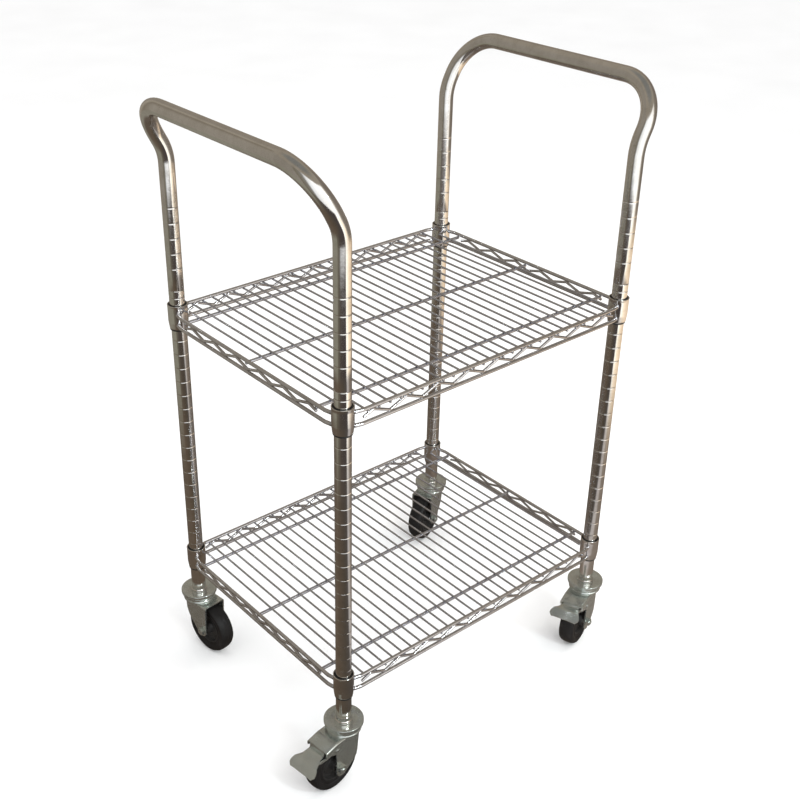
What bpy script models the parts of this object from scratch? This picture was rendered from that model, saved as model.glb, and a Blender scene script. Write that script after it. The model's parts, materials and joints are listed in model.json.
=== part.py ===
"""Two-tier wire shelf cart with two push handles and four swivel casters.

Metres, +Z up. X runs along the long side of the shelves and Y along the short side. The floor is
z = 0 and the origin is under the middle of the footprint.
"""
import math

import bmesh
import bpy
from mathutils import Matrix, Vector

INCH = 0.0254
GAP = 0.0003                    # clearance between pieces that touch or fit together

# Post grid. The casters trail to one side, so the posts' middle is not the footprint's middle.
GRID_CENTRE = (0.0205, 0.0139)
POST_X = 0.289                  # half the distance between posts along X
POST_Y = 0.215                  # half the distance between posts along Y
CORNERS = {
    "front_left": (-1, -1),
    "front_right": (1, -1),
    "rear_left": (-1, 1),
    "rear_right": (1, 1),
}

# Tubes of posts and handles.
TUBE_R = 0.0127
TUBE_WALL = 0.0012
TUBE_SIDES = 12                 # posts, collars, sleeves and handles share their corners' angles
GROOVE_ZERO_Z = 0.2530          # height of the first counted groove; the rest are an inch apart
POST_TOP = GROOVE_ZERO_Z + 18.5 * INCH
POST_BOTTOM = 0.1316

# Handles: swaged end inside the post, leg, outward bend, short straight, corner, bar.
SWAGE_RISES = (-0.040, GAP, GAP + 0.0003, 0.0030)
LEAN_START_Z = 0.932
LEAN_BEND_R = 0.076
LEAN_ANGLE = math.radians(27.5)
LEAN_STRAIGHT = 0.008
CORNER_BEND_R = 0.073
BEND_STEPS = 3

# Shelves.
LOWER_SHELF_TOP = 0.2145        # top edge of the corner collars
UPPER_SHELF_TOP = LOWER_SHELF_TOP + 19 * INCH
COLLAR_H = 0.0415
COLLAR_R = 0.0168
COLLAR_TAPER_H = 0.0120         # the lowest part narrows towards the bore
COLLAR_BORE_R = 0.0150
RAIL_R = 0.0030
RAIL_OUT = 0.0115               # rails run this far outside the line through the posts
LONG_TOP_RAIL_DROP = 0.0110     # rail centres below the collars' top edge
SHORT_TOP_RAIL_DROP = 0.0147
BOTTOM_RAIL_DROP = 0.0330
WIRE_R = 0.0017
WIRE_PITCH = 0.0203
WIRE_COUNT = 28
WIRE_DROP = LONG_TOP_RAIL_DROP + RAIL_R + WIRE_R - 0.0004
COLLAR_WIRE_REACH = POST_Y - 0.0085     # the outermost wires stop in the collars' sides
SUPPORT_R = 0.0028
SUPPORT_DROP = WIRE_DROP + WIRE_R + SUPPORT_R + GAP
SUPPORT_SPACING = 0.173
SUPPORT_SHIFT_Y = 0.005
TRUSS_HALF_PITCH = 1.5 * WIRE_PITCH
TRUSS_R = 0.0023
FREE_END = 0.6                  # how much of its last slope each end of a truss wire keeps

# Black split sleeves between post and collar.
SLEEVE_R_IN = TUBE_R + GAP
SLEEVE_R_OUT = 0.0146
SLEEVE_RECESS = 0.0004          # top edge below the collar's
SLEEVE_BELOW = 0.0030           # lower edge below the collar's
SLEEVE_SLOT = 0.0030

# Casters.
SWIVEL_ANGLE = {"front_left": -173.0, "front_right": -161.0, "rear_left": -83.0, "rear_right": -158.0}
BRAKED = ("front_left", "front_right")
WHEEL_R = 0.049
TREAD_HALF_W = 0.0135
TRAIL = 0.030                   # axle behind the swivel axis
WHEEL_STEPS = 20
PLATE_TOP = 0.1215
PLATE_BOTTOM = 0.1145
PLATE_R = 0.0325
CUP_R = 0.0285
ROOF_TOP = 0.1055
ROOF_BEND = 0.0380              # a braked caster's roof slopes down from here to its front edge
ROOF_FRONT = (0.0600, 0.1008)
LIP_FOOT = (0.0622, 0.0903)     # lower edge of the lip folded down from that front edge
LIP_HALF_W = 0.0155
SHEET = 0.0025
FORK_HALF_W = 0.0225
AXLE_R = 0.0040
KING_R = 0.0058

# Brake pedal: its pivot in the caster's own frame (trail, height) and its travel.
PEDAL_PIVOT = (0.036, 0.090)
PEDAL_TRAVEL = math.radians(18.0)
PEDAL_SHEET = 0.0020
PEDAL_RAISED = ("front_right",)


def clear_scene():
    for obj in list(bpy.data.objects):
        bpy.data.objects.remove(obj)


def make_material(name, colour, metallic, roughness):
    mat = bpy.data.materials.new(name)
    mat.use_nodes = True
    shader = mat.node_tree.nodes["Principled BSDF"]
    shader.inputs["Base Color"].default_value = (*colour, 1.0)
    shader.inputs["Metallic"].default_value = metallic
    shader.inputs["Roughness"].default_value = roughness
    return mat


def make_empty(name, parent, matrix):
    empty = bpy.data.objects.new(name, None)
    bpy.context.scene.collection.objects.link(empty)
    empty.parent = parent
    empty.matrix_local = matrix
    return empty


def finish(name, bm, material, parent, matrix=None):
    """Turn a bmesh into one named object under parent."""
    bmesh.ops.recalc_face_normals(bm, faces=bm.faces)
    mesh = bpy.data.meshes.new(name)
    bm.to_mesh(mesh)
    bm.free()
    mesh.materials.append(material)
    mesh.shade_smooth()
    mesh.set_sharp_from_angle(angle=math.radians(40))
    obj = bpy.data.objects.new(name, mesh)
    bpy.context.scene.collection.objects.link(obj)
    obj.parent = parent
    obj.matrix_local = matrix or Matrix.Identity(4)
    return obj


def add_ring(bm, points):
    return [bm.verts.new(point) for point in points]


def bridge(bm, ring_a, ring_b):
    count = len(ring_a)
    for i in range(count):
        j = (i + 1) % count
        bm.faces.new((ring_a[i], ring_a[j], ring_b[j], ring_b[i]))


def lathe(profile, steps, closed=False, phase=0.0):
    """Spin (radius, height) points about Z. A closed profile makes a ring; radius 0 is a pole."""
    bm = bmesh.new()
    loops = []
    for radius, height in profile:
        if radius == 0:
            loops.append(bm.verts.new((0, 0, height)))
            continue
        angles = [phase + 2 * math.pi * i / steps for i in range(steps)]
        loops.append(add_ring(bm, [(radius * math.cos(a), radius * math.sin(a), height) for a in angles]))
    pairs = list(zip(loops, loops[1:]))
    if closed:
        pairs.append((loops[-1], loops[0]))
    for low, high in pairs:
        if isinstance(low, list) and isinstance(high, list):
            bridge(bm, low, high)
            continue
        pole, ring = (high, low) if isinstance(low, list) else (low, high)
        for i in range(steps):
            bm.faces.new((pole, ring[i], ring[(i + 1) % steps]))
    return bm


def tube_profile(outer, inner, low, high):
    return [(outer, low), (outer, high), (inner, high), (inner, low)]


def sweep_frames(points, up):
    """A frame at each point, with the bisecting plane at each bend."""
    directions = [(b - a).normalized() for a, b in zip(points, points[1:])]
    frames = []
    side = directions[0].cross(up).normalized()
    for i, point in enumerate(points):
        before = directions[max(i - 1, 0)]
        after = directions[min(i, len(directions) - 1)]
        normal = (before + after).normalized()
        if i:
            side = directions[max(i - 2, 0)].rotation_difference(before) @ side
        frames.append((point, before, side.copy(), before.cross(side), normal))
    return frames


def sweep_ring(frame, radius, sides, phase):
    """Section points carried along the incoming direction onto the bend's plane."""
    point, direction, side, over, normal = frame
    ring = []
    for i in range(sides):
        a = phase + 2 * math.pi * i / sides
        offset = side * (radius * math.cos(a)) + over * (radius * math.sin(a))
        ring.append(point + offset - direction * (offset.dot(normal) / direction.dot(normal)))
    return ring


def rod(points, radius, sides, up=Vector((0, 0, 1))):
    """A solid bar along a path of straight runs, with flats on top and bottom."""
    bm = bmesh.new()
    across = radius / math.cos(math.pi / sides)
    phase = math.pi / sides + math.pi / 2
    rings = [add_ring(bm, sweep_ring(f, across, sides, phase)) for f in sweep_frames(points, up)]
    for ring_a, ring_b in zip(rings, rings[1:]):
        bridge(bm, ring_a, ring_b)
    bm.faces.new(rings[0])
    bm.faces.new(rings[-1])
    return bm


def pipe(points, outer, inner, sides, up):
    """A hollow tube along a path, open at both ends, with a radius in and out at each point."""
    bm = bmesh.new()
    frames = sweep_frames(points, up)
    outside = [add_ring(bm, sweep_ring(f, r, sides, 0.0)) for f, r in zip(frames, outer)]
    inside = [add_ring(bm, sweep_ring(f, r, sides, 0.0)) for f, r in zip(frames, inner)]
    for rings in (outside, inside):
        for ring_a, ring_b in zip(rings, rings[1:]):
            bridge(bm, ring_a, ring_b)
    bridge(bm, outside[0], inside[0])
    bridge(bm, outside[-1], inside[-1])
    return bm


def prism(outline, low, high, place):
    """Extrude a flat outline from low to high; place maps (u, v, depth) to a point."""
    bm = bmesh.new()
    near = add_ring(bm, [place(u, v, low) for u, v in outline])
    far = add_ring(bm, [place(u, v, high) for u, v in outline])
    bridge(bm, near, far)
    bm.faces.new(near)
    bm.faces.new(far)
    return bm


def temporary(bm):
    bmesh.ops.recalc_face_normals(bm, faces=bm.faces)
    mesh = bpy.data.meshes.new("tool")
    bm.to_mesh(mesh)
    bm.free()
    return bpy.data.objects.new("tool", mesh)


def combined(base, joined=(), cut=(), kept=None):
    """The union of base and the joined solids, less the cut ones, within kept, as one bmesh."""
    obj = temporary(base)
    bpy.context.scene.collection.objects.link(obj)
    tools = []
    within = [kept] if kept else []
    for operation, solids in (("UNION", joined), ("DIFFERENCE", cut), ("INTERSECT", within)):
        if not solids:
            continue
        group = bpy.data.collections.new(operation)
        for solid in solids:
            tool = temporary(solid)
            group.objects.link(tool)
            tools.append(tool)
        step = obj.modifiers.new(operation, "BOOLEAN")
        step.operation = operation
        step.solver = "EXACT"
        step.operand_type = "COLLECTION"
        step.collection = group
    bpy.context.view_layer.update()
    evaluated = obj.evaluated_get(bpy.context.evaluated_depsgraph_get())
    bm = bmesh.new()
    bm.from_mesh(evaluated.to_mesh())
    evaluated.to_mesh_clear()
    bpy.data.objects.remove(obj)
    for tool in tools:
        bpy.data.objects.remove(tool)
    bmesh.ops.remove_doubles(bm, verts=bm.verts, dist=1e-6)
    bmesh.ops.dissolve_limit(bm, angle_limit=math.radians(0.5), verts=bm.verts, edges=bm.edges)
    return bm


def arc(centre, radius, start, end, steps):
    """Points on an arc in a plane, angles in degrees, both ends included."""
    angles = [math.radians(start + (end - start) * i / steps) for i in range(steps + 1)]
    return [(centre[0] + radius * math.cos(a), centre[1] + radius * math.sin(a)) for a in angles]


def corner_matrix(corner):
    sx, sy = CORNERS[corner]
    return Matrix.Translation((sx * POST_X, sy * POST_Y, 0))


# Posts and what is inside them.

def build_post(corner, parent, mats):
    bore = TUBE_R - TUBE_WALL
    place = corner_matrix(corner)
    body = lathe(tube_profile(TUBE_R, bore, POST_BOTTOM, POST_TOP), TUBE_SIDES, closed=True)
    finish(f"post_{corner}", body, mats["tube"], parent, place)
    plug_r = bore * math.cos(math.pi / TUBE_SIDES) - GAP
    socket = lathe(tube_profile(plug_r, 0.0054, POST_BOTTOM + 0.0010, POST_BOTTOM + 0.030), 12, closed=True)
    finish(f"stem_socket_{corner}", socket, mats["steel"], parent, place)


# Handles.

def handle_leg():
    """Centre points of one leg up to the bar, as (outward, inward, height), from the swaged end."""
    points = [(0.0, 0.0, POST_TOP + rise) for rise in SWAGE_RISES]
    for out, up in arc((LEAN_BEND_R, 0.0), LEAN_BEND_R, 180, 180 - math.degrees(LEAN_ANGLE), BEND_STEPS):
        points.append((out, 0.0, LEAN_START_Z + up))
    out, _, up = points[-1]
    lean = (math.sin(LEAN_ANGLE), math.cos(LEAN_ANGLE))
    for inward, rise in arc((CORNER_BEND_R, 0.0), CORNER_BEND_R, 180, 90, BEND_STEPS):
        run = LEAN_STRAIGHT + rise
        points.append((out + run * lean[0], inward, up + run * lean[1]))
    return points


def build_handle(name, side, parent, material):
    leg = handle_leg()
    front = [Vector((side * (POST_X + out), -POST_Y + inward, up)) for out, inward, up in leg]
    rear = [Vector((p.x, -p.y, p.z)) for p in reversed(front)]
    bore = TUBE_R - TUBE_WALL
    swaged = bore * math.cos(math.pi / TUBE_SIDES) - GAP
    outer = [swaged, swaged] + [TUBE_R] * (len(leg) - 2)
    inner = [swaged - TUBE_WALL] * 3 + [bore] * (len(leg) - 3)
    body = pipe(front + rear, outer + outer[::-1], inner + inner[::-1], TUBE_SIDES, Vector((0, 1, 0)))
    finish(name, body, material, parent)


# Shelves.

def collar(sx, sy, top):
    low = top - COLLAR_H
    profile = [
        (COLLAR_R, top),
        (COLLAR_R, low + COLLAR_TAPER_H),
        (COLLAR_BORE_R + 0.0004, low),
        (COLLAR_BORE_R, low),
        (COLLAR_BORE_R, top),
    ]
    bm = lathe(profile, TUBE_SIDES, closed=True)
    bm.transform(Matrix.Translation((sx * POST_X, sy * POST_Y, 0)))
    return bm


def rail(along, out, sign, z, swap):
    """A straight rail with both ends bent in to the collars; swap runs it along Y."""
    bend, tip = along - 0.0260, along - 0.0135
    path = [(-tip, out - 0.0030), (-bend, out), (bend, out), (tip, out - 0.0030)]
    if swap:
        return rod([Vector((sign * v, u, z)) for u, v in path], RAIL_R, 6)
    return rod([Vector((u, sign * v, z)) for u, v in path], RAIL_R, 6)


def truss(half_steps, peak_at_even, sign, out, high, low, swap):
    """The zigzag wire between two rails; its two ends stop part way down the last slope."""
    def level(i):
        return high if (i % 2 == 0) == peak_at_even else low
    points = [(i * TRUSS_HALF_PITCH, level(i)) for i in range(-half_steps, half_steps + 1)]
    last, inner = points[-1], points[-2]
    end = tuple(a + FREE_END * (b - a) for a, b in zip(inner, last))
    points[-1] = end
    points[0] = (-end[0], end[1])
    if swap:
        return rod([Vector((sign * out, u, z)) for u, z in points], TRUSS_R, 4, Vector((1, 0, 0)))
    return rod([Vector((u, sign * out, z)) for u, z in points], TRUSS_R, 4, Vector((0, 1, 0)))


def build_shelf(name, top, parent, material):
    side_x, side_y = POST_X + RAIL_OUT, POST_Y + RAIL_OUT
    bottom = top - BOTTOM_RAIL_DROP
    seat = RAIL_R + TRUSS_R - 0.0004
    clear = RAIL_R + TRUSS_R * 1.2 + GAP
    solids = []
    for sign in (-1, 1):
        for drop in (LONG_TOP_RAIL_DROP, BOTTOM_RAIL_DROP):
            solids.append(rail(POST_X, side_y, sign, top - drop, False))
        for drop in (SHORT_TOP_RAIL_DROP, BOTTOM_RAIL_DROP):
            solids.append(rail(POST_Y, side_x, sign, top - drop, True))
        high = top - LONG_TOP_RAIL_DROP - seat
        solids.append(truss(9, True, sign, side_y, high, bottom + clear, False))
        high = top - SHORT_TOP_RAIL_DROP - seat
        solids.append(truss(6, False, sign, side_x, high, bottom + clear, True))
    for i in range(WIRE_COUNT):
        x = (i - (WIRE_COUNT - 1) / 2) * WIRE_PITCH
        reach = side_y if 0 < i < WIRE_COUNT - 1 else COLLAR_WIRE_REACH
        ends = [Vector((x, -reach, top - WIRE_DROP)), Vector((x, reach, top - WIRE_DROP))]
        solids.append(rod(ends, WIRE_R, 4))
    for i in (-1, 0, 1):
        y = SUPPORT_SHIFT_Y + i * SUPPORT_SPACING
        ends = [Vector((-side_x, y, top - SUPPORT_DROP)), Vector((side_x, y, top - SUPPORT_DROP))]
        solids.append(rod(ends, SUPPORT_R, 4))
    solids += [collar(sx, sy, top) for sx, sy in CORNERS.values()]
    finish(name, combined(solids[0], joined=solids[1:]), material, parent)


def slotted_ring(radius):
    """Corners of a tube's outline that stops at both edges of a slot in its first side."""
    corners = arc((0, 0), radius, 0, 360, TUBE_SIDES)
    start, end = Vector(corners[0]), Vector(corners[1])
    share = SLEEVE_SLOT / 2 / (end - start).length
    return [start.lerp(end, 0.5 + share)] + corners[1:] + [start.lerp(end, 0.5 - share)]


def build_sleeve(name, corner, top, parent, material):
    """The sleeve between post and collar, split down one side."""
    outline = slotted_ring(SLEEVE_R_OUT) + slotted_ring(SLEEVE_R_IN)[::-1]
    low, high = top - COLLAR_H - SLEEVE_BELOW, top - SLEEVE_RECESS
    body = prism(outline, low, high, lambda u, v, d: (u, v, d))
    finish(name, body, material, parent, corner_matrix(corner))


# Casters. Each is built in its own frame: +X is the way it trails and Y is along the axle.

def upright(u, v, d):
    """Place an outline of (trail, height) at depth d along the axle."""
    return (u, d, v)


def axle_lathe(profile, steps, phase=0.0, closed=False):
    """Spin a (radius, across) profile about the axle."""
    bm = lathe(profile, steps, closed=closed, phase=phase)
    bm.transform(Matrix.Translation((TRAIL, 0, WHEEL_R)) @ Matrix.Rotation(math.radians(-90), 4, "X"))
    return bm


def pin_along_y(radius, low, high, trail, z, steps=8):
    bm = lathe([(0, low), (radius, low), (radius, high), (0, high)], steps)
    bm.transform(Matrix.Translation((trail, 0, z)) @ Matrix.Rotation(math.radians(-90), 4, "X"))
    return bm


def build_stem(corner, parent, mats):
    """Fixed half of the swivel: king rivet, race plate, boss under the post and threaded stem."""
    profile = [
        (0, 0.0990),
        (0.0090, 0.0990),
        (0.0090, 0.1026),
        (KING_R, 0.1026),
        (KING_R, PLATE_BOTTOM),
        (PLATE_R - 0.0010, PLATE_BOTTOM),
        (PLATE_R, PLATE_TOP - 0.0020),
        (PLATE_R - 0.0020, PLATE_TOP),
        (0.0150, PLATE_TOP),
        (0.0128, PLATE_TOP + 0.0080),
        (0.0128, POST_BOTTOM - GAP),
        (0.0050, POST_BOTTOM - GAP),
        (0.0050, POST_BOTTOM + 0.034),
        (0, POST_BOTTOM + 0.034),
    ]
    finish(f"caster_stem_{corner}", lathe(profile, 16), mats["zinc"], parent, corner_matrix(corner))


def leg_outline(braked):
    """Outline of one fork leg as (trail, height), from the roof's front corner round the axle."""
    top = ROOF_TOP - SHEET / 2
    if braked:
        front = [
            (ROOF_BEND, top),
            (ROOF_FRONT[0] - 0.0015, ROOF_FRONT[1] - 0.0010),
            (0.0600, 0.0925),
            (0.0385, 0.0830),
        ]
        foot = arc((0.0260, 0.0416), 0.0120, 0, -125, 4)
        return front + foot + [(-0.0080, 0.0510), (-0.0140, 0.0820), (-0.0175, top)]
    foot = arc((0.0280, 0.0482), 0.0120, 0, -133, 4)
    return [(0.0425, top), (0.0410, 0.0860)] + foot + [(-0.0156, 0.0770), (-0.0175, top)]


def roof_profile(braked):
    """Side view of the pressed roof: flat over the wheel, sloping down on the braked casters."""
    if braked:
        top = [(-0.0175, ROOF_TOP), (ROOF_BEND, ROOF_TOP), ROOF_FRONT]
    else:
        top = [(-0.0175, ROOF_TOP), (0.0420, ROOF_TOP)]
    return top + [(u, z - SHEET) for u, z in reversed(top)]


def lip_profile():
    """Side view of the lip; its front face keeps one distance from the pedal's pivot."""
    return [
        (ROOF_FRONT[0] - 0.0030, ROOF_FRONT[1] - 0.0010),
        (ROOF_FRONT[0] - 0.0002, ROOF_FRONT[1] - 0.0004),
        LIP_FOOT,
        (LIP_FOOT[0] - SHEET, LIP_FOOT[1]),
    ]


def build_fork(corner, parent, mats):
    braked = corner in BRAKED
    roof = prism(roof_profile(braked), -FORK_HALF_W, FORK_HALF_W, upright)
    legs = []
    for sign in (-1, 1):
        near, far = sorted((sign * FORK_HALF_W, sign * (FORK_HALF_W - SHEET)))
        legs.append(prism(leg_outline(braked), near, far, upright))
    cup_low, cup_high = ROOF_TOP - 0.0010, PLATE_BOTTOM - 0.0005
    cup = lathe(tube_profile(CUP_R, CUP_R - SHEET, cup_low, cup_high), 16, closed=True)
    crown_r = CUP_R - 0.001
    crown = lathe([(0, ROOF_TOP - SHEET), (crown_r, ROOF_TOP - SHEET), (crown_r, ROOF_TOP), (0, ROOF_TOP)], 16)
    holes = [pin_along_y(AXLE_R + GAP, -0.03, 0.03, TRAIL, WHEEL_R)]
    king_hole = KING_R + 0.0008
    holes.append(lathe([(0, 0.09), (king_hole, 0.09), (king_hole, 0.12), (0, 0.12)], 8))
    joined = [*legs, cup, crown]
    if braked:
        holes.append(pin_along_y(0.0030, -0.03, 0.03, *PEDAL_PIVOT))
        joined.append(prism(lip_profile(), -LIP_HALF_W, LIP_HALF_W, upright))
    finish(f"fork_{corner}", combined(roof, joined, holes), mats["zinc"], parent)


def build_bearing(corner, parent, mats):
    """The ring of balls in the swivel's race, as one ring."""
    section = arc((0.0195, ROOF_TOP + 0.0042), 0.0038, 0, 300, 5)
    finish(f"swivel_bearing_{corner}", lathe(section, 12, closed=True), mats["steel"], parent)


def build_wheel(corner, parent, mats):
    flat_down = math.pi / WHEEL_STEPS
    rim = WHEEL_R / math.cos(flat_down)
    tread = [(0.0300, -0.0120), (0.0440, -TREAD_HALF_W), (rim - 0.0012, -0.0100), (rim, -0.0030)]
    tread += [(radius, -across) for radius, across in reversed(tread)]
    tyre = axle_lathe(tread, WHEEL_STEPS, flat_down, closed=True)
    hub = [(0.0063, -0.0160), (0.0110, -0.0160), (0.0115, -0.0060), (0.0265, -0.0060), (0.0297, -0.0115)]
    hub += [(radius, -across) for radius, across in reversed(hub)]
    core = axle_lathe(hub, WHEEL_STEPS, flat_down, closed=True)
    shift = Matrix.Translation((-TRAIL, 0, -WHEEL_R))
    for bm in (tyre, core):
        bm.transform(shift)
    finish(f"tyre_{corner}", tyre, mats["rubber"], parent)
    finish(f"wheel_core_{corner}", core, mats["core"], parent)


def build_axle(corner, parent, mats):
    inside = FORK_HALF_W - SHEET - GAP
    spacer = axle_lathe(tube_profile(0.0059, AXLE_R + GAP, -inside, inside), 8, closed=True)
    finish(f"axle_sleeve_{corner}", spacer, mats["steel"], parent)
    face = FORK_HALF_W + GAP
    shank = pin_along_y(AXLE_R, -face - 0.001, face + 0.0085, TRAIL, WHEEL_R)
    head = pin_along_y(0.0075, -face - 0.0055, -face, TRAIL, WHEEL_R, 6)
    finish(f"axle_bolt_{corner}", combined(shank, [head]), mats["zinc"], parent)
    nut_bore = (AXLE_R + GAP) / math.cos(math.pi / 6)
    nut = axle_lathe(tube_profile(0.0075, nut_bore, face, face + 0.0065), 6, closed=True)
    finish(f"axle_nut_{corner}", nut, mats["zinc"], parent)


def pedal_side_outline():
    """Side flange of the pedal as (trail, height): pivot eye, then an arm that rises into the plate."""
    trail, height = PEDAL_PIVOT
    eye = arc(PEDAL_PIVOT, 0.0055, 60, 240, 5)
    under = [(trail + 0.020, height - 0.0085), (0.0700, 0.0828), (0.0800, 0.0858)]
    over = [(0.0790, 0.0875), (0.0745, 0.0886), (0.0605, height - 0.0034), (trail + 0.020, height - 0.0034)]
    return eye + under + over


def pedal_plate_profile():
    """Side view of the pressed tread plate: a gently falling neck, a fold, then the steep toe."""
    top = [(0.0634, 0.0921), (0.0650, 0.0918), (0.0840, 0.0873), (0.0870, 0.0852), (0.0990, 0.0733)]
    bottom = []
    for i, (u, z) in enumerate(top):
        before, after = top[max(i - 1, 0)], top[min(i + 1, len(top) - 1)]
        run, fall = after[0] - before[0], after[1] - before[1]
        length = math.hypot(run, fall)
        bottom.append((u + PEDAL_SHEET * fall / length, z - PEDAL_SHEET * run / length))
    return top + bottom[::-1]


def pedal_head_outline():
    """Plan of the tread plate as (trail, across): a narrow neck that flares to a rounded toe."""
    half = 0.0280
    neck = [(0.0600, 0.0145), (0.0680, 0.0152), (0.0740, 0.0182), (0.0840, 0.0232)]
    right = neck + arc((0.0930, half - 0.0070), 0.0070, 120, 0, 4)
    return right + [(u, -v) for u, v in reversed(right)]


def build_pedal(corner, parent, mats):
    """Built pressed, then turned up about its pivot where it stands raised."""
    plate = prism(pedal_plate_profile(), -0.030, 0.030, upright)
    plan = prism(pedal_head_outline(), 0.060, 0.110, lambda u, v, d: (u, v, d))
    plate = combined(plate, kept=plan)
    flanges = []
    for sign in (-1, 1):
        near, far = sorted((sign * 0.0165, sign * 0.0185))
        flanges.append(prism(pedal_side_outline(), near, far, upright))
    hole = pin_along_y(0.0030, -0.03, 0.03, *PEDAL_PIVOT)
    bm = combined(plate, flanges, [hole])
    bm.transform(Matrix.Translation((-PEDAL_PIVOT[0], 0, -PEDAL_PIVOT[1])))
    if corner in PEDAL_RAISED:
        bm.transform(Matrix.Rotation(-PEDAL_TRAVEL, 4, "Y"))
    finish(f"brake_pedal_{corner}", bm, mats["zinc"], parent)


def build_rivets(corner, parent, mats):
    """The two shoulder rivets that the pedal turns on, one through each fork leg."""
    profile = [(0, 0.0150), (0.0042, 0.0150), (0.0042, 0.0162), (0.0027, 0.0162),
               (0.0027, FORK_HALF_W + GAP), (0.0042, FORK_HALF_W + GAP), (0.0030, FORK_HALF_W + 0.0018),
               (0, FORK_HALF_W + 0.0018)]
    for label, turn in (("inner", 90), ("outer", -90)):
        bm = lathe(profile, 8)
        place = Matrix.Translation((PEDAL_PIVOT[0], 0, PEDAL_PIVOT[1]))
        bm.transform(place @ Matrix.Rotation(math.radians(turn), 4, "X"))
        finish(f"brake_rivet_{label}_{corner}", bm, mats["zinc"], parent)


def build_caster(corner, parent, mats):
    build_stem(corner, parent, mats)
    turn = Matrix.Rotation(math.radians(SWIVEL_ANGLE[corner]), 4, "Z")
    swivel = make_empty(f"swivel_axis_{corner}", parent, corner_matrix(corner) @ turn)
    axle = make_empty(f"axle_axis_{corner}", swivel, Matrix.Translation((TRAIL, 0, WHEEL_R)))
    build_fork(corner, swivel, mats)
    build_bearing(corner, swivel, mats)
    build_axle(corner, swivel, mats)
    build_wheel(corner, axle, mats)
    if corner in BRAKED:
        pivot = Matrix.Translation((PEDAL_PIVOT[0], 0, PEDAL_PIVOT[1]))
        build_pedal(corner, make_empty(f"pedal_axis_{corner}", swivel, pivot), mats)
        build_rivets(corner, swivel, mats)


def main():
    clear_scene()
    mats = {
        "tube": make_material("chrome_tube", (0.72, 0.69, 0.66), 1.0, 0.12),
        "wire": make_material("chrome_wire", (0.62, 0.60, 0.57), 1.0, 0.22),
        "zinc": make_material("zinc_plate", (0.55, 0.57, 0.54), 1.0, 0.32),
        "steel": make_material("plain_steel", (0.45, 0.45, 0.45), 1.0, 0.40),
        "rubber": make_material("black_rubber", (0.018, 0.017, 0.017), 0.0, 0.55),
        "core": make_material("wheel_plastic", (0.022, 0.022, 0.022), 0.0, 0.45),
        "sleeve": make_material("sleeve_plastic", (0.012, 0.012, 0.012), 0.0, 0.35),
    }
    cart = make_empty("cart", None, Matrix.Translation((*GRID_CENTRE, 0)))
    for corner in CORNERS:
        build_post(corner, cart, mats)
        build_sleeve(f"sleeve_upper_{corner}", corner, UPPER_SHELF_TOP, cart, mats["sleeve"])
        build_sleeve(f"sleeve_lower_{corner}", corner, LOWER_SHELF_TOP, cart, mats["sleeve"])
        build_caster(corner, cart, mats)
    build_handle("handle_left", -1, cart, mats["tube"])
    build_handle("handle_right", 1, cart, mats["tube"])
    build_shelf("shelf_upper", UPPER_SHELF_TOP, cart, mats["wire"])
    build_shelf("shelf_lower", LOWER_SHELF_TOP, cart, mats["wire"])


main()
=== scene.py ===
"""Looks of the two-tier wire shelf cart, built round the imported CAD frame. Metres, +Z up."""
import json
import math

import bmesh
import bpy
from mathutils import Matrix, Vector

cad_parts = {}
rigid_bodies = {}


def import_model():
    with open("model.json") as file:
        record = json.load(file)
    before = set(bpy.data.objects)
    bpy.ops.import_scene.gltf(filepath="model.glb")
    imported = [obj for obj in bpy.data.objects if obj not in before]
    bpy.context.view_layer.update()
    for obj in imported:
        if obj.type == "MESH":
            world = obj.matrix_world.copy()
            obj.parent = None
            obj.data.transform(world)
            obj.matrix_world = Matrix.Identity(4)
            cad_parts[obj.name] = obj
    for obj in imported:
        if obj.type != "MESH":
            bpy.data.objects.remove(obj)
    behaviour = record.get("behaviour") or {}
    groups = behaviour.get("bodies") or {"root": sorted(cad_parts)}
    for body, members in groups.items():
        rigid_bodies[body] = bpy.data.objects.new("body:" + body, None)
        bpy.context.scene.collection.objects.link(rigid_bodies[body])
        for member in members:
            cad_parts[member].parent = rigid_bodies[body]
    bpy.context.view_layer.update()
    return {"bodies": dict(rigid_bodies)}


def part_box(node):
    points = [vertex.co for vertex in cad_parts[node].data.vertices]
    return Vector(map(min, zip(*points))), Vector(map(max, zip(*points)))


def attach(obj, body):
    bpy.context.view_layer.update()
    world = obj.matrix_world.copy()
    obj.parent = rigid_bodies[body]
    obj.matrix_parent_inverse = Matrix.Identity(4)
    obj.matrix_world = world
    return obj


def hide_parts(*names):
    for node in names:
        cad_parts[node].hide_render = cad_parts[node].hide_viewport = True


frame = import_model()

# Places that everything else hangs on, read from the CAD nodes.
CORNERS = {"front_left": (-1, -1), "front_right": (1, -1), "rear_left": (-1, 1), "rear_right": (1, 1)}
POST_BOXES = {corner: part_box(f"post_{corner}") for corner in CORNERS}
POST_AXIS = {corner: (box[0] + box[1]) / 2 for corner, box in POST_BOXES.items()}
CENTRE = (POST_AXIS["front_left"] + POST_AXIS["rear_right"]) / 2
POST_X = (POST_AXIS["rear_right"].x - POST_AXIS["front_left"].x) / 2
POST_Y = (POST_AXIS["rear_right"].y - POST_AXIS["front_left"].y) / 2
POST_BOTTOM = POST_BOXES["front_left"][0].z
POST_TOP = POST_BOXES["front_left"][1].z
SHELF_TOP = {name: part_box(f"shelf_{name}")[1].z for name in ("upper", "lower")}

INCH = 0.0254
GAP = 0.0003
TUBE_R = 0.0127
TUBE_WALL = 0.0012
GROOVE_ZERO_Z = 0.2530
GROOVE_DEPTH = 0.0003
GROOVE_HALF = 0.0011
POST_GROOVES = range(-3, 19)
HANDLE_GROOVES = range(20, 25)
TUBE_SIDES = 48

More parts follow.
